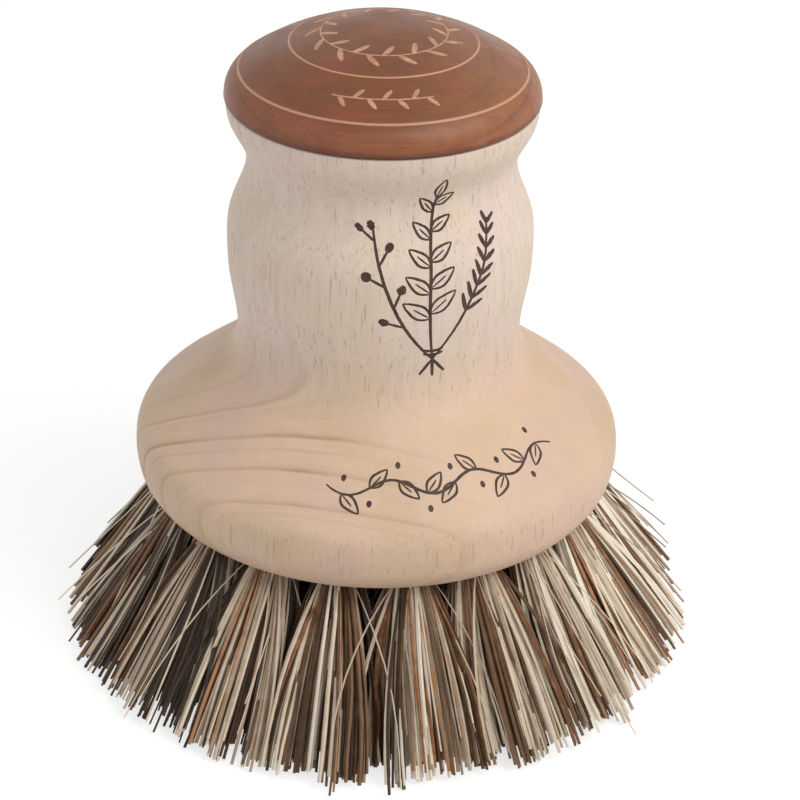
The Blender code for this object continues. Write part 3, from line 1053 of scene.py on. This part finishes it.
def evenSpots(dice, count):
    # spots in one half of the tuft's mouth, as shares of its radius, evenly filled
    spots = []
    gap, easing = fibre["evenness"]
    least = gap * math.sqrt(math.pi / 2 / count)
    while len(spots) < count:
        spot = Vector((dice.uniform(-1, 1), dice.uniform(fibre["middleGap"], 1)))
        if spot.length <= 1 and all((spot - other).length > least for other in spots):
            spots.append(spot)
        else:
            least *= easing
    return spots


def halfPlan(dice):
    # one half of a tuft: each strand's spot with its lock, from the darkest lock to the palest
    locks = []
    for spot in evenSpots(dice, fibre["locks"]):
        locks.append({
            "spot": spot,
            "shade": dice.choice(fibre["lockShades"]),
            "swing": scatter(dice) * Vector(fibre["lockSwing"]),
            "lift": abs(dice.gauss(0, 1)) * fibre["raggedLock"],
        })
    strands = []
    for spot in evenSpots(dice, fibre["strands"]):
        lock = min(locks, key=lambda each: (each["spot"] - spot).length)
        strands.append((spot, lock))
    return sorted(strands, key=lambda strand: strand[1]["shade"])


def fanPlace(tuft, spot):
    # where a spot of the round tuft lands in its share of the row on the floor
    corner = spot.length / max(abs(spot.x), abs(spot.y))
    middle = Vector((0, fibre["halfMiddle"]))
    spread = spot * (1 + (corner - 1) * fibre["squareness"])
    spread = middle + (spread - middle) * Vector(fibre["reach"])
    return Vector((spread.x * tuft["fanRadius"], spread.y * tuft["halfTurn"] * tuft["rowRadius"]))


def strandHalf(tuft, spot, lock, side, stray, dice):
    # one end of a strand, from the mouth of the hole down to its tip on the floor
    tip = fanPlace(tuft, spot.lerp(lock["spot"], fibre["lockPull"])) + lock["swing"]
    tip += scatter(dice) * fibre["tipJitter"]
    lift = lock["lift"] + abs(dice.gauss(0, 1)) * fibre["raggedStrand"]
    if spot.x > fibre["crossFrom"] and dice.random() < fibre["crossShare"]:
        tip.y += dice.gauss(0, 1) * fibre["crossSwing"]
    if stray:
        tip += scatter(dice, fibre["strayOutwards"]) * fibre["straySwing"]
        lift += dice.random() * fibre["strayLift"]
    turn = side * tip.y / tuft["rowRadius"]
    end = tuft["radial"] * math.cos(turn) + tuft["along"] * math.sin(turn)
    end = end * (tuft["rowRadius"] + tip.x) + Vector(fibre["lean"]) + upwards * (fibre["floorGap"] + lift)
    root = spot * tuft["rootRadius"]
    start = tuft["mouth"] + tuft["outwards"] * root.x + tuft["along"] * root.y * side
    bloom = tuft["radial"] * (tip.x - root.x) * fibre["bloom"][0]
    bloom += tuft["along"] * (tip.y - root.y) * fibre["bloom"][1] * side
    across = scatter(dice).to_3d() * fibre["wave"]
    waves, phase = dice.uniform(*fibre["waves"]), dice.uniform(0, 2 * math.pi)
    line = []
    for step in range(fibre["outsideSteps"] + 1):
        t = step / fibre["outsideSteps"]
        wave = across * math.sin(phase + 2 * math.pi * waves * t) * t
        line.append(start.lerp(end, t) + bloom * t * (1 - t) + wave)
    return line


def strandLine(tuft, near, far, stray, dice):
    # tip, mouth, over the staple's crown, mouth and tip, with the run from root to tip of each point
    ends = [strandHalf(tuft, *near, -1, stray, dice), strandHalf(tuft, *far, 1, stray, dice)]
    roots = [near[0] * tuft["rootRadius"], far[0] * tuft["rootRadius"]]
    room = tuft["rootDepth"] - tuft["crownDepth"] - fibre["widths"][1]
    height = room * min((roots[0].y + roots[1].y) / 2 / tuft["rootRadius"], 1.0)
    fold = []
    for step in range(fibre["foldSteps"]):
        turn = math.pi * step / (fibre["foldSteps"] - 1)
        share = (1 - math.cos(turn)) / 2
        x = roots[0].x + (roots[1].x - roots[0].x) * share
        y = -roots[0].y + (roots[1].y + roots[0].y) * share
        depth = tuft["crownDepth"] + math.sin(turn) * height
        fold.append(tuft["mouth"] + tuft["outwards"] * x + tuft["along"] * y + tuft["axis"] * depth)
    runs = [step / fibre["outsideSteps"] for step in range(fibre["outsideSteps"] + 1)]
    return ends[0][::-1] + fold + ends[1], runs[::-1] + [0.0] * len(fold) + runs


def tubesMesh(name, lines, widths, guide):
    # closed tubes along many lines of the same number of points, with a width for each point
    centres = np.array(lines)
    slopes = np.gradient(centres, axis=1)
    slopes /= np.linalg.norm(slopes, axis=2, keepdims=True)
    first = np.array(guide) - slopes * (slopes @ np.array(guide))[..., None]
    first /= np.linalg.norm(first, axis=2, keepdims=True)
    second = np.cross(slopes, first)
    sides = fibre["sides"]
    turns = 2 * np.pi * np.arange(sides) / sides
    spokes = first[:, :, None] * np.cos(turns)[:, None] + second[:, :, None] * np.sin(turns)[:, None]
    points = centres[:, :, None] + spokes * np.array(widths)[:, :, None, None] / 2
    count, length = centres.shape[:2]
    index = np.arange(count * length * sides).reshape(count, length, sides)
    following = np.roll(index, -1, axis=2)
    quads = np.stack([index[:, :-1], following[:, :-1], following[:, 1:], index[:, 1:]], axis=-1)
    ends = np.concatenate([index[:, 0, ::-1], index[:, -1]])
    data = bpy.data.meshes.new(name)
    data.from_pydata(points.reshape(-1, 3).tolist(), [], quads.reshape(-1, 4).tolist() + ends.tolist())
    return data


def paintPoints(data, name, values):
    values = np.repeat(np.array(values, np.float32).reshape(-1), fibre["sides"])
    data.attributes.new(name, "FLOAT", "POINT").data.foreach_set("value", values)


def strandWidths(width, runs):
    # thinner where the strands are packed in the hole, full below it and a little thinner at the tip
    made = []
    for run in runs:
        share = fibre["rootShare"] + (1 - fibre["rootShare"]) * min(run * fibre["swelling"], 1)
        made.append(width * share * (1 - (1 - fibre["tipShare"]) * run))
    return made


def makeTuft(tuft, seed, material):
    dice = random.Random(seed)
    # paler strands towards the key-lit side: partly more pale strands, partly painted light
    paler = fibre["paler"][0] + tuft["radial"].dot(Vector(fibre["paleSide"])) * fibre["paler"][1]
    lines, widths, shades, allRuns = [], [], [], []
    for near, far in zip(halfPlan(dice), halfPlan(dice)):
        stray = dice.random() < fibre["strayShare"]
        line, runs = strandLine(tuft, near, far, stray, dice)
        shade = near[1]["shade"] + dice.gauss(0, fibre["shadeDrift"])
        width = dice.uniform(*fibre["widths"])
        if dice.random() < fibre["strangers"]:
            shade = dice.random()
        shade += paler
        if stray:
            shade, width = dice.uniform(*fibre["strayShades"]), fibre["strayWidth"]
        lines.append(line)
        allRuns.append(runs)
        widths.append(strandWidths(width, runs))
        shades.append([min(max(shade, 0.0), 1.0)] * len(runs))
    name = "bristles" + "".join(word.capitalize() for word in tuft["node"].split("_"))
    data = tubesMesh(name, lines, widths, tuft["outwards"])
    paintPoints(data, "fibreShade", shades)
    paintPoints(data, "fibreRun", allRuns)
    return newPiece(name, data, material, [tuft["node"]])


print("filling the tufts")
fibreFinish = fibreMaterial()
for number, tuft in enumerate(tufts):
    makeTuft(tuft, fibre["seed"] + number, fibreFinish)

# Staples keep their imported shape

wire = {
    "tone": screenColour(176, 172, 160),
    "dullTone": screenColour(120, 112, 98),
    "smudgeSize": 0.002,
    "roughness": (0.28, 0.5),
    "bump": (0.2, 0.00002),
    "specular": 0.5,
}


def wireMaterial():
    made, tree, shader, place = newMaterial("stapleWire")
    wear = worn(tree, place, wire["smudgeSize"])
    tone = mixed(tree, wear["Smudges"], wire["tone"], wire["dullTone"])
    setFinish(tree, shader, wire, tone, wear["Smudges"], wear["Pits"])
    shader.inputs["Metallic"].default_value = 1.0
    return made


print("finishing the staples")
wireFinish = wireMaterial()
for name, node in nodes.items():
    if name.startswith("staple"):
        node.data.materials.clear()
        node.data.materials.append(wireFinish)

# Floor, lights and camera

shot = {
    "target": (0, 0, 0.03098),
    "azimuth": math.radians(-20),
    "elevation": math.radians(29.67),
    "distance": 0.3324,
    "lens": 110.6,
    "shift": 0.0287,
    "clip": (0.01, 10),
    "roll": math.radians(1.13),
}
floorLook = {
    "size": 4.0,
    "tone": (0.8, 0.8, 0.8, 1),
    "shownTone": (0.42, 0.42, 0.42, 1),     # its own tone and glow make a white that still takes a shadow
    "glow": 0.72,
    "roughness": 0.9,
}
lamps = {
    "key": {
        "azimuth": math.radians(38),
        "elevation": math.radians(46),
        "distance": 0.62,
        "size": 0.42,
        "power": 2.2,
        "tone": (1.0, 0.965, 0.92),
    },
    "fill": {
        "azimuth": math.radians(-82),
        "elevation": math.radians(28),
        "distance": 0.7,
        "size": 0.6,
        "power": 0.6,
        "tone": (0.93, 0.96, 1.0),
    },
}
worldLook = {"light": 0.46, "shown": 1.0}


def pointOnView(azimuth, elevation, distance):
    # azimuth 0 is at the front, and the right hand side of the front is positive
    flat = math.cos(elevation) * distance
    return Vector((math.sin(azimuth) * flat, -math.cos(azimuth) * flat, math.sin(elevation) * distance))


def shownRays(tree):
    # 1 for the rays that show the background: straight, mirrored or through glass
    path = addNode(tree, "LightPath").outputs
    mirrored = maths(tree, "MAXIMUM", path["Is Glossy Ray"], path["Is Transmission Ray"])
    return maths(tree, "MAXIMUM", path["Is Camera Ray"], mirrored)


def makeFloor():
    mesh = bmesh.new()
    bmesh.ops.create_grid(mesh, x_segments=1, y_segments=1, size=floorLook["size"] / 2)
    floor = placed("floor", meshData("floor", mesh))
    made, tree, shader = newMaterial("paleFloor")[:3]
    seen = shownRays(tree)
    tone = mixed(tree, seen, floorLook["tone"], floorLook["shownTone"])
    glow = times(tree, seen, floorLook["glow"])
    setSockets(tree, shader, {
        "Base Color": tone,
        "Roughness": floorLook["roughness"],
        "Specular IOR Level": 0.0,
        "Emission Color": (1, 1, 1, 1),
        "Emission Strength": glow,
    })
    floor.data.materials.append(made)


def aim(made, plan):
    away = pointOnView(plan["azimuth"], plan["elevation"], plan["distance"])
    made.location = Vector(shot["target"]) + away
    made.rotation_euler = away.to_track_quat("Z", "Y").to_euler()


def makeLamp(name, plan):
    data = bpy.data.lights.new(name, "AREA")
    data.energy = plan["power"]
    data.size = plan["size"]
    data.color = plan["tone"]
    lamp = placed(name, data)
    aim(lamp, plan)


def makeWorld():
    world = bpy.data.worlds.new("studio")
    bpy.context.scene.world = world
    world.use_nodes = True
    tree = world.node_tree
    background = tree.nodes["Background"]
    strength = between(tree, shownRays(tree), 0.0, 1.0, worldLook["light"], worldLook["shown"])
    background.inputs["Color"].default_value = (1, 1, 1, 1)
    tree.links.new(strength, background.inputs["Strength"])


def makeCamera():
    data = bpy.data.cameras.new("camera")
    data.lens = shot["lens"]
    data.shift_x = shot["shift"]
    data.clip_start, data.clip_end = shot["clip"]
    camera = placed("camera", data)
    aim(camera, shot)
    camera.rotation_euler.rotate_axis("Z", shot["roll"])
    bpy.context.scene.camera = camera


print("setting the stage")
makeFloor()
makeWorld()
for lampName, lampPlan in lamps.items():
    makeLamp(lampName, lampPlan)
makeCamera()
bpy.context.scene.view_settings.view_transform = "Standard"
